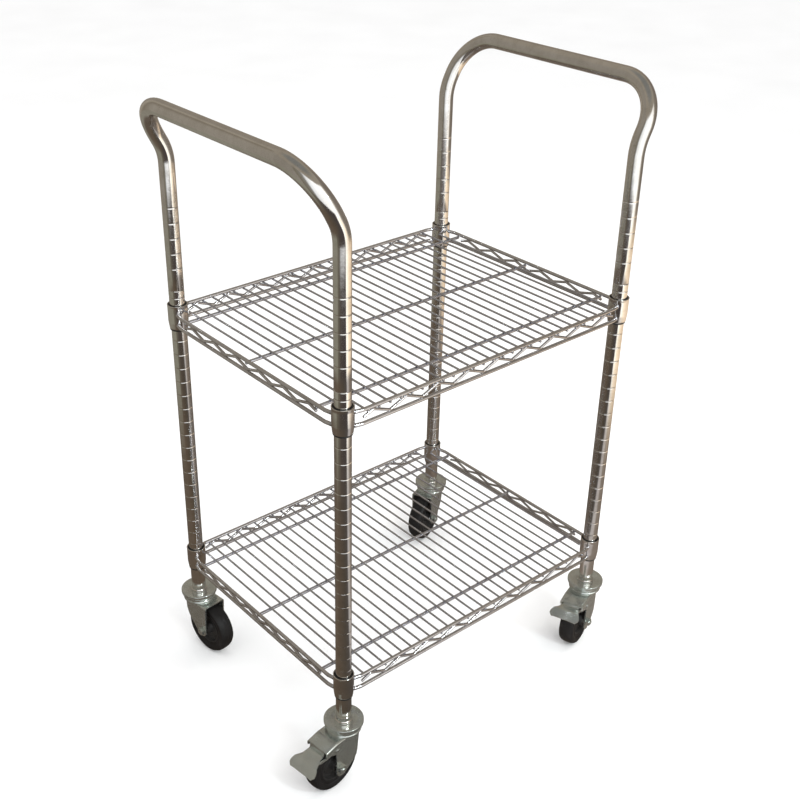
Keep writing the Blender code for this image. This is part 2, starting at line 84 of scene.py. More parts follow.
LEAN_START_Z = 0.932
LEAN_BEND_R = 0.076
LEAN_ANGLE = math.radians(27.5)
LEAN_STRAIGHT = 0.008
CORNER_BEND_R = 0.073
SWAGE_LENGTH = 0.040
PLUG_R = 0.0108
PLUG_BORE_R = 0.0056
PLUG_RIBS = 7
HANDLE_SIDES = 40
HANDLE_SHRINK = 0.9998

COLLAR_H = 0.0415
RAIL_R = 0.0030
RAIL_OUT = 0.0115
RAIL_BEND_SHORT = 0.0260
RAIL_TIP_SHORT = 0.0140
RAIL_TIP_IN = 0.0026
LONG_TOP_RAIL_DROP = 0.0110
SHORT_TOP_RAIL_DROP = 0.0144
BOTTOM_RAIL_DROP = 0.0330
WIRE_R = 0.0017
WIRE_PITCH = 0.0203
WIRE_COUNT = 28
WIRE_PAST_RAIL = 0.0026
END_WIRE_SHORT = 0.0105
WIRE_DROP = LONG_TOP_RAIL_DROP + RAIL_R + WIRE_R - 0.0003
SUPPORT_R = 0.0028
SUPPORT_DROP = WIRE_DROP + WIRE_R + SUPPORT_R - 0.0002
SUPPORT_YS = (-0.168, 0.005, 0.178)
TRUSS_R = 0.0023
TRUSS_STEP = 1.5 * WIRE_PITCH
TRUSS_FREE_END = 0.6
COLLAR_R = 0.0165
SLEEVE_R = 0.0146
SLEEVE_SLOT = 12
WELD_R = 0.0036
WELD_ALONG = 0.0150
WELD_OUT = 0.0088

SWIVEL_ANGLE = {"front_left": -173.0, "front_right": -161.0, "rear_left": -83.0, "rear_right": -158.0}
BRAKED = [corner for corner in CORNERS if f"brake_{corner}" in frame["bodies"]]
WHEEL_R = 0.049
TRAIL = 0.030
PLATE_TOP = 0.1215
PLATE_BOTTOM = 0.1145
ROOF_TOP = 0.1055
SHEET = 0.0025
FORK_HALF_W = 0.0225
STEM_R = 0.0050
BOSS_R = 0.0125
FOOT_R = 0.0120
FORK_BACK = -0.0200
FORK_REACH = 0.0430
BRAKED_FORK_REACH = 0.0640
FORK_STATIONS = 20
ROOF_BEND = 0.0380
ROOF_SLOPE = 0.2136
STEM_HOLE_R = 0.0064
AXLE_HOLE_R = 0.0043
HEX_FLATS = 0.0130
RACE_BALLS = 14
BALL_R = 0.0030
BALL_RING_R = 0.0205
PEDAL_PIVOT = (0.036, 0.090)
PIVOT_HOLE_R = 0.0030
PEDAL_SHEET = 0.0020
PEDAL_EYE_R = 0.0055
PEDAL_ARM = (0.0165, 0.0185)
PEDAL_CURL = 0.0010
PEDAL_CURL_FROM = 0.074
PEDAL_TRAVEL = math.radians(18.0)


# Mesh making. A part is (points, faces); a piece joins several parts.

def spin(profile, steps, closed=False):
    """Spin (radius, height) points about Z; radius 0 is a pole, and a closed profile makes a ring."""
    points, faces, loops = [], [], []
    for radius, height in profile:
        start = len(points)
        if radius == 0:
            points.append(Vector((0, 0, height)))
            loops.append([start])
            continue
        for i in range(steps):
            a = 2 * math.pi * i / steps
            points.append(Vector((radius * math.cos(a), radius * math.sin(a), height)))
        loops.append(list(range(start, start + steps)))
    pairs = list(zip(loops, loops[1:]))
    if closed:
        pairs.append((loops[-1], loops[0]))
    for low, high in pairs:
        for i in range(steps):
            j = (i + 1) % steps
            if len(low) == 1:
                faces.append((low[0], high[i], high[j]))
            elif len(high) == 1:
                faces.append((low[i], low[j], high[0]))
            else:
                faces.append((low[i], low[j], high[j], high[i]))
    return points, faces


def rod(radius, low, high, steps):
    """A plain round rod about Z."""
    return spin([(0, low), (radius, low), (radius, high), (0, high)], steps)


def sweep(path, radii, sides, up=Vector((0, 0, 1)), closed_ends=True):
    """A round bar or one wall of a tube along a path, its frame carried along without twist."""
    path = [Vector(p) for p in path]
    if not isinstance(radii, (list, tuple)):
        radii = [radii] * len(path)
    runs = [(b - a).normalized() for a, b in zip(path, path[1:])]
    side = runs[0].cross(up)
    if side.length < 1e-6:
        side = runs[0].cross(Vector((1, 0, 0)))
    side.normalize()
    points, faces = [], []
    heading = runs[0]
    for i, (centre, radius) in enumerate(zip(path, radii)):
        tangent = (runs[max(i - 1, 0)] + runs[min(i, len(runs) - 1)]).normalized()
        side = heading.rotation_difference(tangent) @ side
        heading = tangent
        over = tangent.cross(side)
        for k in range(sides):
            a = 2 * math.pi * k / sides
            points.append(centre + side * (radius * math.cos(a)) + over * (radius * math.sin(a)))
    for i in range(len(path) - 1):
        for k in range(sides):
            j = (k + 1) % sides
            a, b = i * sides, (i + 1) * sides
            faces.append((a + k, a + j, b + j, b + k))
    if closed_ends:
        faces.append(tuple(reversed(range(sides))))
        faces.append(tuple(range(len(points) - sides, len(points))))
    return points, faces


def wire(path, radius, sides=12, up=Vector((0, 0, 1))):
    """A cut wire: a bar whose two ends are slightly rounded over."""
    path = [Vector(p) for p in path]
    ease = radius * 0.35
    head = (path[0] - path[1]).normalized()
    tail = (path[-1] - path[-2]).normalized()
    full = [path[0], path[0] - head * ease] + path[1:-1] + [path[-1] - tail * ease, path[-1]]
    radii = [radius * 0.72] + [radius] * (len(full) - 2) + [radius * 0.72]
    return sweep(full, radii, sides, up)


def rounded(path, radius, steps=5):
    """The same path with each corner turned into an arc."""
    path = [Vector(p) for p in path]
    out = [path[0]]
    for before, corner, after in zip(path, path[1:], path[2:]):
        back, ahead = (before - corner).normalized(), (after - corner).normalized()
        half = back.angle(ahead) / 2
        reach = min(radius / math.tan(half), 0.48 * (before - corner).length, 0.48 * (after - corner).length)
        bend = reach * math.tan(half)
        bisector = (back + ahead).normalized()
        middle = corner + bisector * (bend / math.sin(half))
        start, end = corner + back * reach - middle, corner + ahead * reach - middle
        for i in range(steps + 1):
            out.append(middle + start.slerp(end, i / steps).normalized() * bend)
    out.append(path[-1])
    return out


def extrude(outline, low, high, place):
    """A flat outline given depth; place maps (u, v, depth) to a point."""
    count = len(outline)
    points = [Vector(place(u, v, low)) for u, v in outline]
    points += [Vector(place(u, v, high)) for u, v in outline]
    faces = [tuple(range(count)), tuple(range(2 * count - 1, count - 1, -1))]
    faces += [(i, i + count, (i + 1) % count + count, (i + 1) % count) for i in range(count)]
    return points, faces


def arc(centre, radius, start, end, steps):
    angles = [math.radians(start + (end - start) * i / steps) for i in range(steps + 1)]
    return [(centre[0] + radius * math.cos(a), centre[1] + radius * math.sin(a)) for a in angles]


def moved(part, matrix):
    points, faces = part
    return [matrix @ p for p in points], faces


def add_object(name, data):
    obj = bpy.data.objects.new(name, data)
    bpy.context.scene.collection.objects.link(obj)
    return obj


def piece(name, body, parts, material, nodes=(), place=None, bevel=0.0, angle=35):
    """One shown piece from its parts, riding on a CAD body and standing for its CAD nodes."""
    bm = bmesh.new()
    for points, faces in parts:
        verts = [bm.verts.new(place @ p if place else p) for p in points]
        for face in faces:
            bm.faces.new([verts[i] for i in face])
    bmesh.ops.recalc_face_normals(bm, faces=bm.faces)
    mesh = bpy.data.meshes.new(name)
    bm.to_mesh(mesh)
    bm.free()
    mesh.materials.append(material)
    mesh.shade_smooth()
    mesh.set_sharp_from_angle(angle=math.radians(angle))
    obj = add_object(name, mesh)
    if bevel:
        add_bevel(obj, bevel, angle)
    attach(obj, body)
    if nodes:
        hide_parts(*nodes)
    return obj


def add_bevel(obj, width, angle):
    """Ease the edges that are sharper than an angle in degrees."""
    step = obj.modifiers.new("edge", "BEVEL")
    step.width = width
    step.segments = 3
    step.limit_method = "ANGLE"
    step.angle_limit = math.radians(angle)
    step.harden_normals = True


def tool_solid(points, faces):
    """A closed solid for a Boolean, its faces turned outwards."""
    mesh = bpy.data.meshes.new("tool")
    mesh.from_pydata([tuple(p) for p in points], [], faces)
    bm = bmesh.new()
    bm.from_mesh(mesh)
    bmesh.ops.recalc_face_normals(bm, faces=bm.faces)
    bm.to_mesh(mesh)
    bm.free()
    return bpy.data.objects.new("tool", mesh)


def cut(obj, solids):
    """Take solids out of a piece's mesh with an exact Boolean, before its bevel."""
    group = bpy.data.collections.new(obj.name + "_cuts")
    for points, faces in solids:
        group.objects.link(tool_solid(points, faces))
    step = obj.modifiers.new("cuts", "BOOLEAN")
    step.operation = "DIFFERENCE"
    step.solver = "EXACT"
    step.operand_type = "COLLECTION"
    step.collection = group
    settle(obj, step.name)
    for tool in list(group.objects):
        bpy.data.objects.remove(tool)
    bpy.data.collections.remove(group)


def fuse(obj):
    """Join a piece's overlapping parts into one skin."""
    step = obj.modifiers.new("fuse", "BOOLEAN")
    step.operation = "UNION"
    step.solver = "EXACT"
    step.use_self = True
    other = add_object("nothing", bpy.data.meshes.new("nothing"))
    step.object = other
    settle(obj, step.name)
    bpy.data.objects.remove(other)


def settle(obj, modifier_name):
    """Apply one modifier alone, leaving the others on the piece."""
    others = [m for m in obj.modifiers if m.name != modifier_name]
    for other in others:
        other.show_viewport = False
    bpy.context.view_layer.update()
    evaluated = obj.evaluated_get(bpy.context.evaluated_depsgraph_get())
    mesh = bpy.data.meshes.new_from_object(evaluated)
    for other in others:
        other.show_viewport = True
    obj.modifiers.remove(obj.modifiers[modifier_name])
    old = obj.data
    obj.data = mesh
    bpy.data.meshes.remove(old)


# Materials.

class Tree:
    """Helpers for writing any node tree. A value is a socket, a number or a colour."""

    def __init__(self, tree):
        self.tree = tree

    def node(self, kind, **settings):
        made = self.tree.nodes.new(kind)
        for key, value in settings.items():
            setattr(made, key, value)
        return made

    def link(self, value, socket):
        if isinstance(value, (int, float)):
            socket.default_value = value
        elif isinstance(value, tuple):
            socket.default_value = (*value, 1.0)
        else:
            self.tree.links.new(value, socket)

    def ramp(self, value, stops):
        made = self.node("ShaderNodeValToRGB")
        ramp = made.color_ramp
        while len(ramp.elements) < len(stops):
            ramp.elements.new(0.5)
        for element, (position, colour) in zip(ramp.elements, stops):
            element.position = position
            element.color = (*colour, 1.0)
        self.link(value, made.inputs["Fac"])
        return made.outputs["Color"]

    def mix(self, factor, first, second):
        made = self.node("ShaderNodeMix", data_type="RGBA")
        colours = [s for s in made.inputs if s.type == "RGBA"]
        self.link(factor, made.inputs["Factor"])
        self.link(first, colours[0])
        self.link(second, colours[1])
        return next(s for s in made.outputs if s.type == "RGBA")


class Nodes(Tree):
    """A material's node tree, round its Principled BSDF."""

    def __init__(self, name):
        self.mat = bpy.data.materials.new(name)
        self.mat.use_nodes = True
        super().__init__(self.mat.node_tree)
        self.shader = self.tree.nodes["Principled BSDF"]
        self.coords = self.node("ShaderNodeTexCoord").outputs["Object"]

    def noise(self, scale, detail=4.0, roughness=0.55, stretch=None):
        made = self.node("ShaderNodeTexNoise")
        made.inputs["Scale"].default_value = scale
        made.inputs["Detail"].default_value = detail
        made.inputs["Roughness"].default_value = roughness
        source = self.coords
        if stretch:
            mapping = self.node("ShaderNodeMapping")
            mapping.inputs["Scale"].default_value = stretch
            self.link(source, mapping.inputs["Vector"])
            source = mapping.outputs["Vector"]
        self.link(source, made.inputs["Vector"])
        return made.outputs["Fac"]

    def spread(self, value, low, high, start=0.3, end=0.7):
        made = self.node("ShaderNodeMapRange")
        made.inputs["From Min"].default_value = start
        made.inputs["From Max"].default_value = end
        made.inputs["To Min"].default_value = low
        made.inputs["To Max"].default_value = high
        self.link(value, made.inputs["Value"])
        return made.outputs["Result"]

    def bump(self, height, strength, distance, below=None):
        made = self.node("ShaderNodeBump")
        made.inputs["Strength"].default_value = strength
        made.inputs["Distance"].default_value = distance
        self.link(height, made.inputs["Height"])
        if below is not None:
            self.link(below, made.inputs["Normal"])
        return made.outputs["Normal"]

    def done(self, colour, roughness, normal=None, metallic=0.0, specular=0.5):
        self.link(colour, self.shader.inputs["Base Color"])
        self.link(roughness, self.shader.inputs["Roughness"])
        if normal is not None:
            self.link(normal, self.shader.inputs["Normal"])
        self.shader.inputs["Metallic"].default_value = metallic
        self.shader.inputs["Specular IOR Level"].default_value = specular
        return self.mat


def chrome(name, tint, dull, smooth, rough):
    """Plated steel: clear and hazy patches, fine polishing lines, a little warm staining."""
    n = Nodes(name)
    haze = n.noise(38.0, 5.0, 0.6)
    lines = n.noise(900.0, 2.0, 0.5, stretch=(1.0, 1.0, 0.05))
    specks = n.noise(420.0, 3.0, 0.7)
    colour = n.mix(n.spread(haze, 0.0, 1.0, 0.35, 0.75), tint, dull)
    stained = n.mix(n.spread(specks, 0.0, 0.6, 0.62, 0.78), colour, tuple(c * 0.55 for c in dull))
    normal = n.bump(lines, 0.06, 0.0002)
    normal = n.bump(haze, 0.05, 0.002, normal)
    return n.done(stained, n.spread(haze, smooth, rough), normal, metallic=1.0)


def zinc(name, smooth, rough):
    """Bright zinc plating over steel: a greenish passivated film with soft mottling."""
    n = Nodes(name)
    mottle = n.noise(55.0, 6.0, 0.65)
    fine = n.noise(700.0, 3.0, 0.6)
    film = [(0.28, (0.56, 0.585, 0.55)), (0.52, (0.63, 0.665, 0.63)), (0.76, (0.69, 0.725, 0.69))]
    colour = n.ramp(mottle, film)
    worn = n.mix(n.spread(fine, 0.0, 0.22, 0.58, 0.82), colour, (0.42, 0.43, 0.38))
    swell = n.noise(30.0, 1.0, 0.4)
    normal = n.bump(fine, 0.004, 0.0002)
    normal = n.bump(swell, 0.03, 0.0012, normal)
    return n.done(worn, n.spread(mottle, smooth, rough), normal, metallic=0.92)


def plain_steel(name):
    n = Nodes(name)
    turning = n.noise(500.0, 2.0, 0.5, stretch=(0.1, 0.1, 1.0))
    colour = n.ramp(turning, [(0.35, (0.36, 0.36, 0.35)), (0.65, (0.50, 0.50, 0.49))])
    return n.done(colour, n.spread(turning, 0.30, 0.50), n.bump(turning, 0.1, 0.0002), metallic=1.0)


def rubber(name):
    """Black rubber with a dusty bloom and a fine moulded grain."""
    n = Nodes(name)
    bloom = n.noise(45.0, 6.0, 0.65)
    grain = n.noise(1500.0, 3.0, 0.6)
    dust = [(0.30, (0.006, 0.006, 0.006)), (0.60, (0.011, 0.010, 0.010)), (0.82, (0.036, 0.031, 0.027))]
    colour = n.ramp(bloom, dust)
    normal = n.bump(grain, 0.25, 0.0002)
    return n.done(colour, n.spread(bloom, 0.42, 0.68), normal, specular=0.40)


def moulded(name, dark, light, smooth, rough):
    """Black moulded plastic."""
    n = Nodes(name)
    cloud = n.noise(60.0, 4.0, 0.6)
    grain = n.noise(1100.0, 3.0, 0.6)
    colour = n.mix(n.spread(cloud, 0.0, 1.0), dark, light)
    return n.done(colour, n.spread(cloud, smooth, rough), n.bump(grain, 0.15, 0.0002))


MATS = {
    "tube": chrome("tube_chrome", (0.86, 0.84, 0.81), (0.70, 0.67, 0.62), 0.06, 0.16),
    "collar": chrome("collar_chrome", (0.86, 0.84, 0.82), (0.70, 0.67, 0.64), 0.06, 0.15),
    "wire": chrome("wire_chrome", (0.72, 0.74, 0.81), (0.50, 0.50, 0.54), 0.12, 0.26),
    "rail": chrome("rail_chrome", (0.76, 0.76, 0.78), (0.54, 0.52, 0.52), 0.10, 0.22),
    "zinc": zinc("zinc_plating", 0.13, 0.22),
    "bolt": zinc("bolt_plating", 0.05, 0.12),
    "steel": plain_steel("turned_steel"),
    "tyre": rubber("tyre_rubber"),
    "core": moulded("wheel_core_plastic", (0.012, 0.012, 0.012), (0.030, 0.029, 0.028), 0.35, 0.55),
    "sleeve": moulded("sleeve_plastic", (0.006, 0.006, 0.006), (0.016, 0.016, 0.016), 0.25, 0.45),
}


# Posts, plugs and handles.

def post_place(corner):
    axis = POST_AXIS[corner]
    return Matrix.Translation((axis.x, axis.y, 0))


def groove_rings(centre):
    """(height, radius) of the rings across one rolled groove, going up."""
    shape = [(-1.8, 0.0), (-1.3, 0.0), (-1.0, 0.12), (-0.6, 0.75), (0.0, 1.0),
             (0.6, 0.75), (1.0, 0.12), (1.3, 0.0), (1.8, 0.0)]
    return [(centre + GROOVE_HALF * s, TUBE_R - GROOVE_DEPTH * d) for s, d in shape]


def build_post(corner):
    outer = [(TUBE_R - 0.0004, POST_BOTTOM), (TUBE_R, POST_BOTTOM + 0.0004), (TUBE_R, POST_BOTTOM + 0.0009)]
    for k in POST_GROOVES:
        outer += [(radius, height) for height, radius in groove_rings(GROOVE_ZERO_Z + k * INCH)]
    outer += [(TUBE_R, POST_TOP - 0.0011), (TUBE_R, POST_TOP - 0.0006), (TUBE_R - 0.0003, POST_TOP - 0.00015),
              (TUBE_R - 0.0006, POST_TOP)]
    bore = TUBE_R - TUBE_WALL
    profile = outer + [(bore, POST_TOP), (bore, POST_BOTTOM)]
    place = post_place(corner)
    piece(f"post_tube_{corner}", "cart", [spin(profile, TUBE_SIDES, True)], MATS["tube"],
          [f"post_{corner}"], place)
    low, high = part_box(f"stem_socket_{corner}")[0].z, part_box(f"stem_socket_{corner}")[1].z
    plug = [(PLUG_BORE_R, low), (0.0102, low), (PLUG_R, low + 0.0006)]
    for i in range(PLUG_RIBS):
        z = low + 0.003 + i * 0.0035
        plug += [(PLUG_R, z), (0.0104, z + 0.0006), (0.0104, z + 0.0014), (PLUG_R, z + 0.0020)]
    plug += [(PLUG_R, high - 0.0006), (0.0102, high), (PLUG_BORE_R, high)]
    piece(f"threaded_plug_{corner}", "cart", [spin(plug, 32, True)], MATS["steel"],
          [f"stem_socket_{corner}"], place)


def leg_path():
    """(outward, inward, height, radius) up one handle leg, from its swaged end to the grip bar."""
    swaged = TUBE_R - TUBE_WALL - 0.0004
    foot, start = POST_TOP - SWAGE_LENGTH, POST_TOP + GAP
    path = [(0, 0, foot, swaged - 0.0008), (0, 0, foot + 0.0015, swaged), (0, 0, start - 0.0001, swaged)]
    path += [(0, 0, start, TUBE_R - 0.0006), (0, 0, start + 0.0003, TUBE_R - 0.0003)]
    path.append((0, 0, start + 0.0009, TUBE_R))
    for k in HANDLE_GROOVES:
        for height, radius in groove_rings(GROOVE_ZERO_Z + k * INCH):
            path.append((0, 0, height, radius))
    path.append((0, 0, LEAN_START_Z - 0.02, TUBE_R))
    for out, up in arc((LEAN_BEND_R, 0.0), LEAN_BEND_R, 180, 180 - math.degrees(LEAN_ANGLE), 10):
        path.append((out, 0, LEAN_START_Z + up, TUBE_R))
    out, _, up, _ = path[-1]
    lean = (math.sin(LEAN_ANGLE), math.cos(LEAN_ANGLE))
    for inward, rise in arc((CORNER_BEND_R, 0.0), CORNER_BEND_R, 180, 90, 20):
        run = LEAN_STRAIGHT + rise
        path.append((out + run * lean[0], inward, up + run * lean[1], TUBE_R))
    return path


def build_handle(name, sign):
    leg = leg_path()
    points = [Vector((CENTRE.x + sign * (POST_X + o), CENTRE.y - POST_Y + i, z)) for o, i, z, _ in leg]
    points += [Vector((p.x, 2 * CENTRE.y - p.y, p.z)) for p in reversed(points)]
    radii = [r * HANDLE_SHRINK for _, _, _, r in leg]
    radii += radii[::-1]
    inner = [min(r, TUBE_R) - TUBE_WALL for r in radii]
    up = Vector((0, 1, 0))
    outside, skin = sweep(points, radii, HANDLE_SIDES, up, closed_ends=False)
    inside, bore = sweep(points, inner, HANDLE_SIDES, up, closed_ends=False)
    count, last = len(outside), len(outside) - HANDLE_SIDES
    faces = skin + [tuple(i + count for i in reversed(face)) for face in bore]
    for k in range(HANDLE_SIDES):
        j = (k + 1) % HANDLE_SIDES
        faces.append((k, k + count, j + count, j))
        faces.append((last + k, last + j, last + j + count, last + k + count))
    piece(f"push_{name}", "cart", [(outside + inside, faces)], MATS["tube"], [name])


# Shelves.

def collar_profile(top):
    """(radius, height) down a corner collar: a small rolled lip, a plain part and a narrower last third."""
    low = top - COLLAR_H
    lip = [(0.0152, top - 0.0003), (0.0155, top), (0.0164, top), (0.0168, top - 0.0004)]
    lip.append((0.0168, top - 0.0014))
    plain = [(COLLAR_R, top - 0.0022), (COLLAR_R, top - 0.0060), (COLLAR_R, low + 0.0135)]
    narrow = [(0.0163, low + 0.0110), (0.0160, low + 0.0085), (0.0155, low + 0.0045), (0.0152, low + 0.0014),
              (0.0150, low + 0.0002), (0.0149, low)]
    return lip + plain + narrow


def rail_path(along, out):
    """One side's rail seen from above: straight between the posts, and bent in to each collar."""
    bend, tip = along - RAIL_BEND_SHORT, along - RAIL_TIP_SHORT
    path = [(-tip, out - RAIL_TIP_IN), (-bend, out), (bend, out), (tip, out - RAIL_TIP_IN)]
    return [(p.x, p.y) for p in rounded([(u, v, 0) for u, v in path], 0.010, 4)]


def truss_path(half_steps, peak_at_even, high, low):
    """A zigzag wire, both ways from the middle, its last run cut short."""
    def level(i):
        return high if (i % 2 == 0) == peak_at_even else low
    points = [(i * TRUSS_STEP, level(i)) for i in range(-half_steps, half_steps + 1)]
    last, inner = points[-1], points[-2]
    end = tuple(a + TRUSS_FREE_END * (b - a) for a, b in zip(inner, last))
    points[-1] = end
    points[0] = (-end[0], end[1])
    return [(p.x, p.y) for p in rounded([(u, v, 0) for u, v in points], 0.0045, 5)]


def weld(centre, radius, squash):
    """A small irregular bead of weld metal."""
    bead = [(0, -1), (0.55, -0.83), (0.90, -0.43), (1, 0), (0.88, 0.47), (0.52, 0.85), (0, 1)]
    points, faces = spin(bead, 12)
    lumpy = []
    for i, p in enumerate(points):
        swell = 1 + 0.10 * math.sin(3.1 * i + 40 * (centre[0] + centre[1]))
        squashed = Vector((p.x * squash[0], p.y * squash[1], p.z * squash[2]))
        lumpy.append(Vector(centre) + squashed * (radius * swell))
    return lumpy, faces


def build_shelf(name):
    top = SHELF_TOP[name]
    node = f"shelf_{name}"
    side_x, side_y = POST_X + RAIL_OUT, POST_Y + RAIL_OUT
    bottom = top - BOTTOM_RAIL_DROP
    cx, cy = CENTRE.x, CENTRE.y

    def along_x(u, v, z):
        return Vector((cx + u, cy + v, z))

    rails, trusses, welds = [], [], []
    seat = RAIL_R + TRUSS_R - 0.0004
    for sign in (-1, 1):
        for z in (top - LONG_TOP_RAIL_DROP, bottom):
            rails.append(wire([along_x(u, sign * v, z) for u, v in rail_path(POST_X, side_y)], RAIL_R, 20))
        for z in (top - SHORT_TOP_RAIL_DROP, bottom):
            rails.append(wire([along_x(sign * v, u, z) for u, v in rail_path(POST_Y, side_x)], RAIL_R, 20))
        path = truss_path(9, True, top - LONG_TOP_RAIL_DROP - seat, bottom + seat)
        trusses.append(wire([along_x(u, sign * side_y, z) for u, z in path], TRUSS_R, 12, Vector((0, 1, 0))))
        path = truss_path(6, False, top - SHORT_TOP_RAIL_DROP - seat, bottom + seat)
        trusses.append(wire([along_x(sign * side_x, u, z) for u, z in path], TRUSS_R, 12, Vector((1, 0, 0))))
    wires = []
    for i in range(WIRE_COUNT):
        x = (i - (WIRE_COUNT - 1) / 2) * WIRE_PITCH
        reach = side_y + WIRE_PAST_RAIL if 0 < i < WIRE_COUNT - 1 else POST_Y - END_WIRE_SHORT
        z = top - WIRE_DROP
        wires.append(wire([along_x(x, -reach, z), along_x(x, reach, z)], WIRE_R, 14))
    supports = []
    for y in SUPPORT_YS:
        z = top - SUPPORT_DROP
        supports.append(wire([along_x(-side_x, y, z), along_x(side_x, y, z)], SUPPORT_R, 18))
    collars = []
    for sx, sy in CORNERS.values():
        place = Matrix.Translation((cx + sx * POST_X, cy + sy * POST_Y, 0))
        collars.append(moved(spin(collar_profile(top), 56, True), place))
        for z in (top - LONG_TOP_RAIL_DROP, bottom):
            spot = (cx + sx * (POST_X - WELD_ALONG), cy + sy * (POST_Y + WELD_OUT), z)
            welds.append(weld(spot, WELD_R, (1.15, 0.95, 0.9)))
        for z in (top - SHORT_TOP_RAIL_DROP, bottom):
            spot = (cx + sx * (POST_X + WELD_OUT), cy + sy * (POST_Y - WELD_ALONG), z)
            welds.append(weld(spot, WELD_R, (0.95, 1.15, 0.9)))
    piece(f"shelf_rails_{name}", "cart", rails, MATS["rail"], [node])
    piece(f"shelf_truss_wires_{name}", "cart", trusses, MATS["rail"], [node])
    piece(f"shelf_deck_wires_{name}", "cart", wires, MATS["wire"], [node])
    piece(f"shelf_cross_wires_{name}", "cart", supports, MATS["wire"], [node])
    piece(f"shelf_collars_{name}", "cart", collars, MATS["collar"], [node])
    piece(f"shelf_welds_{name}", "cart", welds, MATS["wire"], [node])


def build_sleeve(name, corner, top):
    """C-shaped sleeve with a chamfered lip, its slot facing the cart's middle."""
    sx, sy = CORNERS[corner]
    facing = math.degrees(math.atan2(-sy, -sx))
    low, high = top - COLLAR_H - 0.0030, top - 0.0004
    levels = [(low, SLEEVE_R - 0.0005), (low + 0.0006, SLEEVE_R), (high - 0.0005, SLEEVE_R),
              (high, SLEEVE_R - 0.0004)]
    half_slot = SLEEVE_SLOT / 2
    steps = 44
    points, faces = [], []
    for z, radius in levels:
        for r in (radius, TUBE_R + GAP):
            for u, v in arc((0, 0), r, facing + half_slot, facing + (360 - half_slot), steps):
                points.append(Vector((u, v, z)))
    row = steps + 1
    for level in range(len(levels) - 1):
        a, b = level * 2 * row, (level + 1) * 2 * row
        for k in range(steps):
            faces.append((a + k, a + k + 1, b + k + 1, b + k))
            faces.append((a + row + k + 1, a + row + k, b + row + k, b + row + k + 1))
        faces.append((a, b, b + row, a + row))
        faces.append((a + row - 1, a + 2 * row - 1, b + 2 * row - 1, b + row - 1))
    last = (len(levels) - 1) * 2 * row
    for k in range(steps):
        faces.append((k + 1, k, row + k, row + k + 1))
        faces.append((last + k, last + k + 1, last + row + k + 1, last + row + k))
    piece(f"split_{name}_{corner}", "cart", [(points, faces)], MATS["sleeve"],
          [f"{name}_{corner}"], post_place(corner))


# Casters, each in its own frame: +X is the way it trails and Y is along the axle.

def upright(u, v, d):
    return (u, d, v)


def about_y(part, trail, z):
    turn = Matrix.Rotation(math.radians(-90), 4, "X")
    return moved(part, Matrix.Translation((trail, 0, z)) @ turn)


def caster_place(corner):
    return post_place(corner) @ Matrix.Rotation(math.radians(SWIVEL_ANGLE[corner]), 4, "Z")


def build_stem(corner):
    rim = [(0.0300, PLATE_BOTTOM), (0.0315, PLATE_BOTTOM + 0.0004), (0.0324, PLATE_BOTTOM + 0.0016)]
    rim += arc((0.0311, PLATE_TOP - 0.0014), 0.0014, 0, 90, 6)
    head = [(0, 0.0992), (0.0050, 0.0990), (0.0078, 0.0994), (0.0090, 0.1004), (0.0090, 0.1020)]
    head.append((0.0084, 0.1026))
    thread = [(STEM_R, PLATE_TOP)]
    for i in range(16):
        z = POST_BOTTOM + 0.001 + i * 0.0020
        thread += [(STEM_R, z), (0.0044, z + 0.0010)]
    thread += [(STEM_R, POST_BOTTOM + 0.0330), (0.0042, POST_BOTTOM + 0.0340), (0, POST_BOTTOM + 0.0340)]
    profile = head + [(0.0058, 0.1026), (0.0058, PLATE_BOTTOM)] + rim
    profile += [(0.0162, PLATE_TOP), (0.0156, PLATE_TOP - 0.0004), (0.0120, PLATE_TOP - 0.0004)] + thread
    piece(f"race_plate_{corner}", "cart", [spin(profile, 72)], MATS["zinc"],
          [f"caster_stem_{corner}"], caster_place(corner))
    low, high = PLATE_TOP - 0.0003, POST_BOTTOM - GAP
    boss = [(0.0052, low), (0.0140, low), (0.0140, low + 0.0006), (0.0136, low + 0.0009)]
    boss += [(0.0130, low + 0.0015), (0.0127, low + 0.0023), (BOSS_R, low + 0.0033), (BOSS_R, low + 0.0043)]
    boss += [(BOSS_R, high - 0.0010), (BOSS_R, high - 0.0004), (0.0121, high), (0.0052, high)]
    piece(f"stem_boss_{corner}", "cart", [spin(boss, 64, True)], MATS["tube"],
          [f"caster_stem_{corner}"], caster_place(corner))


def leg_outline(braked):
    top = ROOF_TOP - SHEET / 2
    if braked:
        foot = arc((0.0260, 0.0416), FOOT_R, 0, -125, 14)
        return [(0.0604, 0.0925), (0.0412, 0.0848), (0.0390, 0.0822), (0.0382, 0.0785)] + foot \
            + [(-0.0080, 0.0510), (-0.0108, 0.0600), (-0.0140, 0.0820), (-0.0175, top)]
    foot = arc((0.0280, 0.0482), FOOT_R, 0, -133, 14)
    return [(0.0425, top), (0.0412, 0.0860), (0.0404, 0.0700)] + foot \
        + [(0.0060, 0.0545), (-0.0090, 0.0690), (-0.0150, 0.0790), (-0.0175, top)]


def fork_section():
    """Cross section of the folded sheet as (across, height): two legs and a roof with rounded folds."""
    outer_r, inner_r = 0.0042, 0.0042 - SHEET
    half, top = FORK_HALF_W, ROOF_TOP
    outer = [(half, 0.0)] + arc((half - outer_r, top - outer_r), outer_r, 0, 90, 6)
    inner = [(half - SHEET, 0.0)] + arc((half - outer_r, top - outer_r), inner_r, 0, 90, 6)
    outer = outer + [(-u, v) for u, v in reversed(outer)]
    inner = inner + [(-u, v) for u, v in reversed(inner)]
    return outer + inner[::-1]


